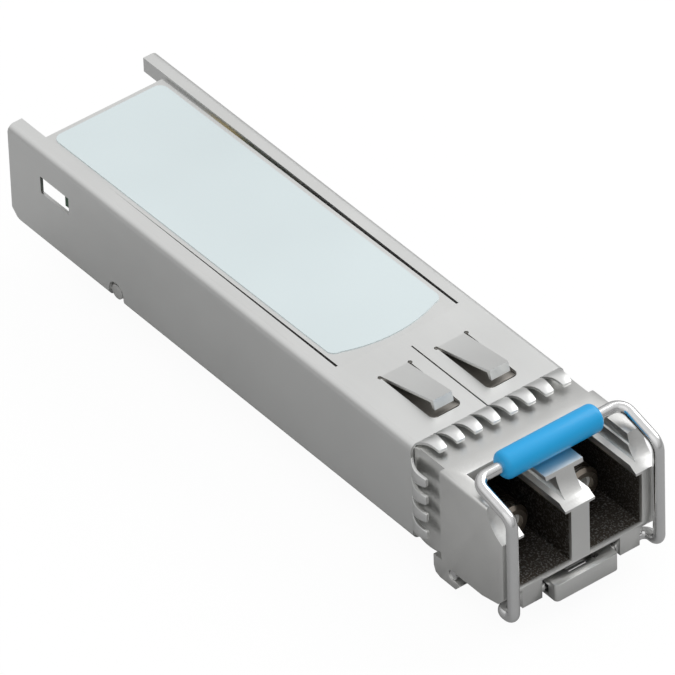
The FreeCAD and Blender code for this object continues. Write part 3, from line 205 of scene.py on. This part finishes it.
class Finish:
    """A procedural material on object coordinates, in metres."""

    def __init__(self, name, **constants):
        self.material = bpy.data.materials.new(name)
        self.material.use_nodes = True
        self.tree = self.material.node_tree
        self.shader = self.tree.nodes["Principled BSDF"]
        for label, value in constants.items():
            socket = self.shader.inputs[label.replace("_", " ").title()]
            socket.default_value = (*value, 1.0) if isinstance(value, tuple) else value
        self.place = self.node("ShaderNodeTexCoord", output="Object")

    def node(self, kind, settings=None, links=None, output=0):
        """Any node: its settings first, then the values or links of its sockets."""
        made = self.tree.nodes.new(kind)
        for setting, value in (settings or {}).items():
            if setting == "stops":
                self.set_stops(made.color_ramp, value)
            else:
                setattr(made, setting, value)
        for label, value in (links or {}).items():
            self.connect(made.inputs[label], value)
        return Shade(self, made.outputs[output])

    def set_stops(self, ramp, stops):
        """Two stops of a colour ramp, as pairs of place and grey level."""
        for element, (place, level) in zip(ramp.elements, stops):
            element.position = place
            element.color = (level, level, level, 1.0)

    def connect(self, socket, value):
        if isinstance(value, Shade):
            self.tree.links.new(value.socket, socket)
        else:
            socket.default_value = value

    def math(self, operation, first, second):
        return self.node("ShaderNodeMath", {"operation": operation}, {0: first, 1: second})

    def stretched(self, scale):
        """Object coordinates scaled along X, Y and Z."""
        return self.node("ShaderNodeMapping", links={"Vector": self.place, "Scale": scale})

    def noise(self, scale, detail=3.0, stretch=(1.0, 1.0, 1.0)):
        """Noise of so many cells per metre."""
        return self.node("ShaderNodeTexNoise",
                         links={"Vector": self.stretched(stretch), "Scale": scale, "Detail": detail})

    def mix(self, factor, low, high):
        """A colour between two colours, each a fixed colour or a node's output."""
        low, high = (end if isinstance(end, Shade) else (*end, 1.0) for end in (low, high))
        return self.node("ShaderNodeMix", {"data_type": "RGBA"},
                         {"Factor": factor, 6: low, 7: high}, output=2)

    def ramp(self, value, low, high):
        """0 at one value, 1 at the other, and a straight run between."""
        return self.node("ShaderNodeMapRange",
                         links={"Value": value, "From Min": float(low), "From Max": float(high)})

    def within(self, value, low, high, edge=0.03 * MM):
        """1 between two values, with soft edges outside them."""
        return self.ramp(value, low - edge, low) * self.ramp(value, high + edge, high)

    def axes(self):
        """The three object coordinates."""
        split = self.node("ShaderNodeSeparateXYZ", links={0: self.place})
        return [Shade(self, output) for output in split.socket.node.outputs]

    def feed(self, label, value):
        self.connect(self.shader.inputs[label], value)

    def bump(self, height, strength, distance):
        """Fine relief on the surface."""
        relief = self.node("ShaderNodeBump",
                           links={"Height": height, "Strength": strength, "Distance": distance})
        self.feed("Normal", relief)


def shift(color, factor):
    """A colour made lighter or darker."""
    return tuple(min(1.0, part * factor) for part in color)


def nickel_sheet():
    """Satin nickel-plated sheet with a rolling grain along the module."""
    looks = bpy.context.scene.transceiver_finish
    finish = Finish("nickel_sheet", metallic=1.0)
    grain = finish.noise(900, 4.0, (0.12, 3.0, 3.0))
    cloud = finish.noise(140, 2.0)
    color = tuple(looks.sheet_color)
    finish.feed("Base Color", finish.mix(cloud, shift(color, 0.94), shift(color, 1.04)))
    finish.feed("Roughness", 0.30 + grain * 0.10 + cloud * 0.06)
    finish.bump(grain, 0.25 * looks.grain, 0.004 * MM)
    return finish.material


def painted_port_shade(finish):
    """1 where shade is painted: on the walls of the fibre ports and the room behind the roof's notch, fading
    in behind the front face; 0 on the outside.
    """
    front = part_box("nose_housing")[1].x
    x, y, z = finish.axes()
    side = finish.math("ABSOLUTE", y, 0.0)
    port, back = (finish.within(side, *beside) * finish.within(z, *height)
                  * finish.ramp(x, front - start, front - end)
                  for beside, height, (start, end) in (PORT_HOLLOW, BACK_HOLLOW))
    return finish.math("MAXIMUM", port, back)


def cast_nickel(name="cast_nickel", with_ports=False):
    """Plated die casting with a fine orange-peel skin; with ports, painted shade inside them, speckled with
    painted glints of light.
    """
    looks = bpy.context.scene.transceiver_finish
    finish = Finish(name, metallic=1.0)
    skin = finish.noise(5200, 3.0)
    cloud = finish.noise(260, 3.0)
    color = tuple(looks.cast_color)
    base = finish.mix(cloud, shift(color, 0.88), shift(color, 1.05))
    roughness = 0.30 + cloud * 0.14
    if with_ports:
        # Painted shade darkens the port walls and the room behind the roof's notch, and painted glints of
        # light speckle it
        dark = painted_port_shade(finish)
        painted_glints = finish.ramp(finish.noise(7000, 2.0), 0.50, 0.72) * 0.6
        port = finish.mix(painted_glints, tuple(looks.port_shade_color), shift(color, 0.6))
        base = finish.mix(dark, base, port)
        roughness = roughness + dark * 0.15
    finish.feed("Base Color", base)
    finish.feed("Roughness", roughness)
    finish.bump(skin, 0.7 * looks.grain, 0.012 * MM)
    return finish.material


def drawn_steel(name, roughness):
    """Bright steel with faint drawing marks."""
    looks = bpy.context.scene.transceiver_finish
    finish = Finish(name, metallic=1.0)
    marks = finish.noise(2600, 2.0)
    color = tuple(looks.wire_color)
    finish.feed("Base Color", finish.mix(marks, shift(color, 0.93), color))
    finish.feed("Roughness", roughness + marks * 0.10)
    finish.bump(marks, 0.15, 0.003 * MM)
    return finish.material


def turned_metal(name, color, roughness):
    """Turned or plated metal with fine rings across X."""
    finish = Finish(name, metallic=1.0)
    rings = finish.noise(1200, 2.0, (6.0, 0.3, 0.3))
    finish.feed("Base Color", finish.mix(rings, shift(color, 0.88), shift(color, 1.05)))
    finish.feed("Roughness", roughness + rings * 0.12)
    finish.bump(rings, 0.2, 0.004 * MM)
    return finish.material


def moulded(name, color, roughness, grain_scale=2500, coat=0.0, depth=0.006):
    """Plastic, rubber, film or ceramic with a fine skin."""
    finish = Finish(name, coat_weight=coat)
    skin = finish.noise(grain_scale, 3.0)
    cloud = finish.noise(grain_scale / 12, 2.0)
    finish.feed("Base Color", finish.mix(cloud, shift(color, 0.90), shift(color, 1.06)))
    finish.feed("Roughness", roughness + cloud * 0.08)
    finish.bump(skin, 0.3, depth * MM)
    return finish.material


def label_film():
    """Satin label film with a slightly uneven surface."""
    looks = bpy.context.scene.transceiver_finish
    return moulded("label_film", tuple(looks.label_color), 0.38, 700, depth=0.003)


def solder_mask():
    """Green lacquer over fine copper tracks."""
    finish = Finish("solder_mask", coat_weight=0.5, coat_roughness=0.15)
    tracks = finish.node("ShaderNodeTexWave", {"wave_type": "BANDS", "bands_direction": "Y"},
                         {"Vector": finish.place, "Scale": 260.0, "Distortion": 1.2, "Detail": 0.0})
    edges = finish.node("ShaderNodeValToRGB", {"stops": ((0.55, 0.0), (0.62, 1.0))}, {"Fac": tracks})
    finish.feed("Base Color", finish.mix(edges, (0.012, 0.085, 0.035), (0.030, 0.170, 0.070)))
    finish.feed("Roughness", 0.32 + finish.noise(900) * 0.1)
    finish.bump(edges, 0.4, 0.01 * MM)
    return finish.material


def choose(piece):
    """Only this piece is selected and active."""
    bpy.ops.object.select_all(action="DESELECT")
    piece.hide_set(False)
    piece.select_set(True)
    bpy.context.view_layer.objects.active = piece


def wear(piece, material):
    """Gives a piece one material."""
    piece.data.materials.clear()
    piece.data.materials.append(material)


def dress_node(node, material):
    """A CAD node keeps its mesh and gets a material and smooth shading over its curves."""
    piece = frame["nodes"][node]
    wear(piece, material)
    choose(piece)
    bpy.ops.object.shade_smooth_by_angle(angle=SMOOTH_ANGLE)


def apply_modifier(kind, **settings):
    """Adds a modifier to the active piece, sets it and applies it."""
    bpy.ops.object.modifier_add(type=kind)
    modifier = bpy.context.object.modifiers[-1]
    for setting, value in settings.items():
        setattr(modifier, setting, value)
    bpy.ops.object.modifier_apply(modifier=modifier.name)


def copy_of(node, name):
    """A separate copy of a CAD node with its loose triangles joined."""
    choose(frame["nodes"][node])
    bpy.ops.object.duplicate()
    piece = bpy.context.object
    piece.name = name
    bpy.ops.object.parent_clear(type="CLEAR_KEEP_TRANSFORM")
    bpy.ops.object.mode_set(mode="EDIT")
    bpy.ops.mesh.select_all(action="SELECT")
    bpy.ops.mesh.remove_doubles(threshold=0.002 * MM)
    bpy.ops.mesh.dissolve_limited(angle_limit=math.radians(2))
    bpy.ops.object.mode_set(mode="OBJECT")
    return piece


def stand_for(piece, node, material, body):
    """Finishes a piece that stands for a CAD node on its body."""
    bpy.ops.object.shade_smooth_by_angle(angle=SMOOTH_ANGLE)
    wear(piece, material)
    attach(piece, body)
    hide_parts(node)


def softened_copy(node, name, width, material, body):
    """A copy of a CAD node with rounded edges, which stands for the node."""
    piece = copy_of(node, name)
    apply_modifier("BEVEL", width=width, segments=2, limit_method="ANGLE", angle_limit=math.radians(40),
                   use_clamp_overlap=True, harden_normals=False)
    stand_for(piece, node, material, body)


def pick(piece, kind, test):
    """Only the vertices, edges or faces that pass a test are selected."""
    bpy.ops.object.mode_set(mode="EDIT")
    bpy.ops.mesh.select_mode(type=kind)
    bpy.ops.mesh.select_all(action="DESELECT")
    bpy.ops.object.mode_set(mode="OBJECT")
    parts = {"VERT": piece.data.vertices, "EDGE": piece.data.edges, "FACE": piece.data.polygons}[kind]
    for part in parts:
        part.select = test(part)
    bpy.ops.object.mode_set(mode="EDIT")


class TRANSCEIVER_OT_can(bpy.types.Operator):
    """Finish the sheet metal can with its spring fingers, and its blank label"""
    bl_idname = "transceiver.can"
    bl_label = "Can and label"

    # Two corners of the pressed cover, the width of its raised rim and the depth of its middle
    COVER_LOW, COVER_HIGH = Vector((39.0, -4.3, 8.05)) * MM, Vector((44.85, 4.3, 8.24)) * MM
    COVER_RIM, COVER_DEPTH = 0.5 * MM, 0.08 * MM

    # A finger's root: its share of the pitch, its length in the rim, and how far it is sunk into the sheet
    ROOT_SHARE, ROOT_LENGTH, ROOT_SINK = 0.93, 0.2 * MM, 0.01 * MM

    # How far along the finger, how high and how wide it is, in millimetres
    PROFILE = ((0.25, 0.19, 1.36), (0.60, 0.37, 1.22), (0.98, 0.48, 1.06), (1.36, 0.50, 0.94),
               (1.70, 0.46, 0.84), (1.96, 0.40, 0.76), (2.06, 0.37, 0.60))

    def execute(self, context):
        looks = context.scene.transceiver_finish
        can = copy_of("outer_can", "folded_can")
        self.cut_fingers(can, looks.can_edge)
        model = self.make_finger(looks)
        fingers = [self.place_finger(model, *place) for place in self.rim_places(looks)]
        bpy.data.objects.remove(model)
        choose(can)
        for finger in fingers:
            finger.select_set(True)
        bpy.ops.object.join()
        stand_for(context.object, "outer_can", nickel_sheet(), "housing")
        self.add_cover(context)
        dress_node("label", label_film())
        return {"FINISHED"}

    def add_cover(self, context):
        """A dark pressed sheet put under the openings of the ground tongues, where only shade shows through;
        the lamps cast real shadow on it, and its darker colour is painted shade.
        """
        bpy.ops.object.select_all(action="DESELECT")
        bpy.ops.mesh.primitive_cube_add(size=1.0, location=(self.COVER_LOW + self.COVER_HIGH) / 2,
                                        scale=self.COVER_HIGH - self.COVER_LOW)
        cover = context.object
        cover.name = "shade_sheet"
        bpy.ops.object.transform_apply(location=True, rotation=True, scale=True)
        pick(cover, "FACE", lambda face: face.normal.z > 0.9)
        bpy.ops.mesh.inset(thickness=self.COVER_RIM)
        bpy.ops.transform.translate(value=(0.0, 0.0, -self.COVER_DEPTH))
        bpy.ops.object.mode_set(mode="OBJECT")
        apply_modifier("BEVEL", width=0.04 * MM, segments=2, limit_method="ANGLE",
                       angle_limit=math.radians(30))
        bpy.ops.object.shade_smooth_by_angle(angle=SMOOTH_ANGLE)
        # Painted shade: the sheet's dark brownish colour stands in for the shade under the tongues
        wear(cover, turned_metal("shade_sheet_painted_dark", (0.40, 0.38, 0.35), 0.4))
        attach(cover, "housing")

    def cut_fingers(self, can, edge):
        """Takes the plain fingers off the rim and closes the rim."""
        pick(can, "VERT", lambda vertex: vertex.co.x > edge + 0.01 * MM)
        bpy.ops.mesh.delete(type="VERT")
        bpy.ops.mesh.select_all(action="DESELECT")
        bpy.ops.mesh.select_mode(type="EDGE")
        bpy.ops.mesh.select_non_manifold()
        bpy.ops.mesh.fill_holes(sides=0)
        bpy.ops.object.mode_set(mode="OBJECT")

    def make_finger(self, looks):
        """One spring finger, extruded step by step along its arch from a root at the origin."""
        root = looks.finger_pitch * self.ROOT_SHARE
        middle = (-self.ROOT_LENGTH / 2, 0.0, -looks.sheet / 2 - self.ROOT_SINK)
        bpy.ops.object.select_all(action="DESELECT")
        bpy.ops.mesh.primitive_cube_add(size=1.0, location=middle,
                                        scale=(self.ROOT_LENGTH, root, looks.sheet))
        finger = bpy.context.object
        bpy.ops.object.transform_apply(location=True, rotation=True, scale=True)
        pick(finger, "FACE", lambda face: face.normal.x > 0.9)
        along, rise, width = 0.0, 0.0, root
        for next_along, next_rise, next_width in self.PROFILE:
            step = Vector((next_along * MM - along, 0.0, next_rise * MM - rise))
            bpy.ops.mesh.extrude_region_move(TRANSFORM_OT_translate={"value": step})
            bpy.ops.transform.resize(value=(1.0, next_width * MM / width, 1.0))
            along, rise, width = next_along * MM, next_rise * MM, next_width * MM
        bpy.ops.object.mode_set(mode="OBJECT")
        apply_modifier("BEVEL", width=0.03 * MM, segments=2, limit_method="ANGLE",
                       angle_limit=math.radians(50))
        return finger

    def rim_places(self, looks):
        """Places and turns of the fingers: above, below beside the lever, and on both sides."""
        edge, pitch = looks.can_edge, looks.finger_pitch
        for step in self.steps(FINGERS_ACROSS):
            yield Vector((edge, pitch * step, CAN_HEIGHT)), 0
            # The lever takes the place of the two middle fingers below
            if abs(step) > 1:
                yield Vector((edge, pitch * step, 0.0)), 180
        for step in self.steps(FINGERS_UP):
            for side in (1, -1):
                yield Vector((edge, side * CAN_WIDTH / 2, CAN_HEIGHT / 2 + pitch * step)), -90 * side

    def steps(self, count):
        """Places in a row about its middle, counted in pitches."""
        return [number - (count - 1) / 2 for number in range(count)]

    def place_finger(self, model, place, turn):
        """A copy of the finger with its own mesh, at its place on the rim."""
        choose(model)
        bpy.ops.object.duplicate()
        finger = bpy.context.object
        finger.location = place
        finger.rotation_euler = (math.radians(turn), 0.0, 0.0)
        bpy.ops.object.transform_apply(location=True, rotation=True, scale=True)
        return finger


class TRANSCEIVER_OT_housing(bpy.types.Operator):
    """Round the casting's edges and finish it"""
    bl_idname = "transceiver.housing"
    bl_label = "Cast housing"

    def execute(self, context):
        looks = context.scene.transceiver_finish
        plating = cast_nickel("cast_nickel_ports", with_ports=True)
        softened_copy("nose_housing", "cast_nose", looks.cast_round, plating, "housing")
        dress_node("emi_gasket", moulded("gasket_elastomer", (0.04, 0.04, 0.042), 0.6))
        return {"FINISHED"}


class TRANSCEIVER_OT_optics(bpy.types.Operator):
    """Finish the receptacles, headers, clamp and flexible circuits"""
    bl_idname = "transceiver.optics"
    bl_label = "Optical assemblies"

    def execute(self, context):
        # Painted shade: the barrels' dark brownish colour stands in for the shade deep inside the ports
        barrel = turned_metal("turned_barrel_painted_shade", (0.30, 0.26, 0.22), 0.22)
        header = turned_metal("plated_header", (0.83, 0.66, 0.33), 0.20)
        film = moulded("amber_film", (0.42, 0.16, 0.025), 0.3, coat=0.4)
        for side in ("transmitter", "receiver"):
            dress_node(f"{side}_barrel", barrel)
            dress_node(f"{side}_flex", film)
        for node in ("laser_header", "diode_header", "header_leads"):
            dress_node(node, header)
        dress_node("ferrule_sleeves", moulded("ground_zirconia", (0.83, 0.83, 0.80), 0.18, coat=0.3))
        dress_node("optics_clamp", drawn_steel("clamp_steel", 0.25))
        return {"FINISHED"}


class TRANSCEIVER_OT_board(bpy.types.Operator):
    """Finish the circuit board and what sits on it"""
    bl_idname = "transceiver.board"
    bl_label = "Circuit board"

    def execute(self, context):
        dress_node("circuit_board", solder_mask())
        dress_node("edge_contacts", turned_metal("contact_gold", (0.94, 0.70, 0.28), 0.18))
        chip = moulded("moulding_compound", (0.022, 0.022, 0.024), 0.45)
        for node in ("laser_driver", "receiver_amplifier", "microcontroller", "memory_chip",
                     "power_inductor"):
            dress_node(node, chip)
        dress_node("passives", moulded("fired_ceramic", (0.30, 0.19, 0.11), 0.4))
        dress_node("board_screws", drawn_steel("screw_steel", 0.2))
        dress_node("thermal_pad", moulded("thermal_elastomer", (0.22, 0.26, 0.30), 0.7))
        dress_node("heat_bridge", turned_metal("milled_aluminium", (0.72, 0.73, 0.74), 0.3))
        return {"FINISHED"}


class TRANSCEIVER_OT_grip(bpy.types.Operator):
    """Model the blue grip sleeve on the bail's cross bar"""
    bl_idname = "transceiver.grip"
    bl_label = "Grip sleeve"

    def execute(self, context):
        looks = context.scene.transceiver_finish
        low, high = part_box("bail_sleeve")
        centre = (low + high) / 2
        radius = (high.z - low.z) / 2
        bpy.ops.object.select_all(action="DESELECT")
        bpy.ops.mesh.primitive_cylinder_add(vertices=64, radius=radius, depth=high.y - low.y,
                                            location=centre, rotation=(math.radians(90), 0, 0))
        sleeve = context.object
        sleeve.name = "grip_sleeve"
        bpy.ops.object.transform_apply(location=True, rotation=True, scale=True)
        pick(sleeve, "FACE", lambda face: abs(face.normal.y) > 0.9)
        bpy.ops.mesh.inset(thickness=radius * 0.52)
        bpy.ops.object.mode_set(mode="OBJECT")
        ends = [vertex.co - centre for vertex in sleeve.data.vertices]
        rim = [math.hypot(end.x, end.z) > radius * 0.98 for end in ends]
        pick(sleeve, "EDGE", lambda edge: all(rim[i] for i in edge.vertices)
             and abs(ends[edge.vertices[0]].y - ends[edge.vertices[1]].y) < 0.01 * MM)
        bpy.ops.mesh.bevel(offset=looks.grip_round, segments=6, profile=0.5)
        bpy.ops.object.mode_set(mode="OBJECT")
        bpy.ops.object.shade_smooth_by_angle(angle=math.radians(40))
        wear(sleeve, moulded("blue_vinyl", tuple(looks.grip_color), 0.34, 1500, coat=0.15))
        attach(sleeve, "bail")
        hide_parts("bail_sleeve")
        return {"FINISHED"}


class TRANSCEIVER_OT_latch(bpy.types.Operator):
    """Finish the bail wire, the latch lever, its pin and its spring"""
    bl_idname = "transceiver.latch"
    bl_label = "Bail wire and latch"

    def execute(self, context):
        looks = context.scene.transceiver_finish
        dress_node("bail_wire", drawn_steel("bail_steel", 0.14))
        softened_copy("latch_lever", "rocking_lever", looks.lever_round, cast_nickel(), "lever")
        dress_node("lever_pin", drawn_steel("pin_steel", 0.15))
        dress_node("lever_spring", drawn_steel("spring_steel", 0.2))
        return {"FINISHED"}


def aim(lamp, target):
    """Turns a lamp towards a target."""
    lamp.rotation_mode = "QUATERNION"
    lamp.rotation_quaternion = (target - lamp.location).to_track_quat("-Z", "Y")


class TRANSCEIVER_OT_stage(bpy.types.Operator):
    """Set the floor, the lamps, the world and the camera"""
    bl_idname = "transceiver.stage"
    bl_label = "Stage"

    def execute(self, context):
        stage = context.scene.transceiver_stage
        context.scene.view_settings.view_transform = "Standard"
        self.add_camera(context, stage)
        self.add_floor(context, stage)
        self.add_lamps(context, stage)
        self.add_world(context)
        return {"FINISHED"}

    def add_camera(self, context, stage):
        """The photograph's camera, from its angles and its focal length in pixels."""
        back = Vector((math.sin(stage.azimuth) * math.cos(stage.elevation),
                       -math.cos(stage.azimuth) * math.cos(stage.elevation), math.sin(stage.elevation)))
        right = UPWARD.cross(back).normalized()
        up = back.cross(right)
        turned_right = right * math.cos(stage.roll) + up * math.sin(stage.roll)
        turned_up = up * math.cos(stage.roll) - right * math.sin(stage.roll)
        place = (AIM_POINT + turned_right * PICTURE_SHIFT[0] + turned_up * PICTURE_SHIFT[1]
                 + back * stage.distance)
        bpy.ops.object.camera_add(location=place)
        camera = context.object
        camera.rotation_euler = Matrix((turned_right, turned_up, back)).transposed().to_euler()
        camera.data.sensor_width = 36.0
        camera.data.lens = stage.focal_pixels / IMAGE_SIZE * camera.data.sensor_width
        camera.data.clip_start = 0.01
        camera.data.clip_end = 10.0
        context.scene.camera = camera

    def add_floor(self, context, stage):
        """A pale floor under the module and its opened bail."""
        low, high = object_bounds()
        bpy.ops.object.select_all(action="DESELECT")
        bpy.ops.mesh.primitive_plane_add(
            size=3.0, location=((low.x + high.x) / 2, 0, low.z - stage.floor_drop))
        floor = context.object
        floor.name = "floor"
        finish = Finish("pale_floor", base_color=(0.42, 0.42, 0.42), roughness=0.8)
        glow = finish.node("ShaderNodeEmission", links={"Color": (1.0, 1.0, 1.0, 1.0), "Strength": 1.1})
        seen = finish.node("ShaderNodeLightPath", output="Is Camera Ray")
        plain = Shade(finish, finish.shader.outputs[0])
        blend = finish.node("ShaderNodeMixShader", links={0: seen * 0.86, 1: plain, 2: glow})
        output = finish.tree.nodes["Material Output"]
        finish.connect(output.inputs["Surface"], blend)
        wear(floor, finish.material)
        floor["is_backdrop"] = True

    def add_lamps(self, context, stage):
        """A broad key lamp behind on the right and a weak fill in front on the left."""
        lamps = (("key_lamp", KEY_PLACE, KEY_SIZE, stage.key_power),
                 ("fill_lamp", FILL_PLACE, FILL_SIZE, stage.fill_power))
        for name, place, size, power in lamps:
            bpy.ops.object.light_add(type="AREA", location=place)
            lamp = context.object
            lamp.name = name
            lamp.data.shape = "DISK"
            lamp.data.size = size
            lamp.data.energy = power
            aim(lamp, LAMP_TARGET)

    def add_world(self, context):
        """A soft surround that is brighter overhead, and white where the camera looks."""
        world = bpy.data.worlds.new("studio")
        context.scene.world = world
        world.use_nodes = True
        tree = world.node_tree
        surround = tree.nodes["Background"]
        surround.inputs["Color"].default_value = (1.0, 1.0, 1.0, 1.0)
        place = tree.nodes.new("ShaderNodeTexCoord")
        split = tree.nodes.new("ShaderNodeSeparateXYZ")
        ramp = tree.nodes.new("ShaderNodeMapRange")
        limits = {"From Min": -0.05, "From Max": 0.75, "To Min": 0.22, "To Max": 0.80}
        for label, value in limits.items():
            ramp.inputs[label].default_value = value
        path = tree.nodes.new("ShaderNodeLightPath")
        white = tree.nodes.new("ShaderNodeBackground")
        white.inputs["Strength"].default_value = 1.0
        white.inputs["Color"].default_value = (1.0, 1.0, 1.0, 1.0)
        blend = tree.nodes.new("ShaderNodeMixShader")
        tree.links.new(place.outputs["Generated"], split.inputs[0])
        tree.links.new(split.outputs["Z"], ramp.inputs["Value"])
        tree.links.new(ramp.outputs["Result"], surround.inputs["Strength"])
        tree.links.new(path.outputs["Is Camera Ray"], blend.inputs[0])
        tree.links.new(surround.outputs[0], blend.inputs[1])
        tree.links.new(white.outputs[0], blend.inputs[2])
        tree.links.new(blend.outputs[0], tree.nodes["World Output"].inputs["Surface"])


PIECES = (TRANSCEIVER_OT_can, TRANSCEIVER_OT_housing, TRANSCEIVER_OT_optics, TRANSCEIVER_OT_board,
          TRANSCEIVER_OT_grip, TRANSCEIVER_OT_latch, TRANSCEIVER_OT_stage)


class TRANSCEIVER_PT_build(bpy.types.Panel):
    """Lists the module's operators and settings."""
    bl_idname = "TRANSCEIVER_PT_build"
    bl_label = "Transceiver"
    bl_space_type = "VIEW_3D"
    bl_region_type = "UI"
    bl_category = "Transceiver"

    def draw(self, context):
        for piece in PIECES:
            self.layout.operator(piece.bl_idname)
        for group in (context.scene.transceiver_finish, context.scene.transceiver_stage):
            for setting in group.__annotations__:
                self.layout.prop(group, setting)


CLASSES = (TransceiverFinish, TransceiverStage, *PIECES, TRANSCEIVER_PT_build)


def register():
    for item in CLASSES:
        bpy.utils.register_class(item)
    bpy.types.Scene.transceiver_finish = bpy.props.PointerProperty(type=TransceiverFinish)
    bpy.types.Scene.transceiver_stage = bpy.props.PointerProperty(type=TransceiverStage)


def unregister():
    del bpy.types.Scene.transceiver_stage
    del bpy.types.Scene.transceiver_finish
    for item in reversed(CLASSES):
        bpy.utils.unregister_class(item)


def main():
    register()
    for name in ("can", "housing", "optics", "board", "grip", "latch", "stage"):
        getattr(bpy.ops.transceiver, name)()


if __name__ == "__main__":
    main()
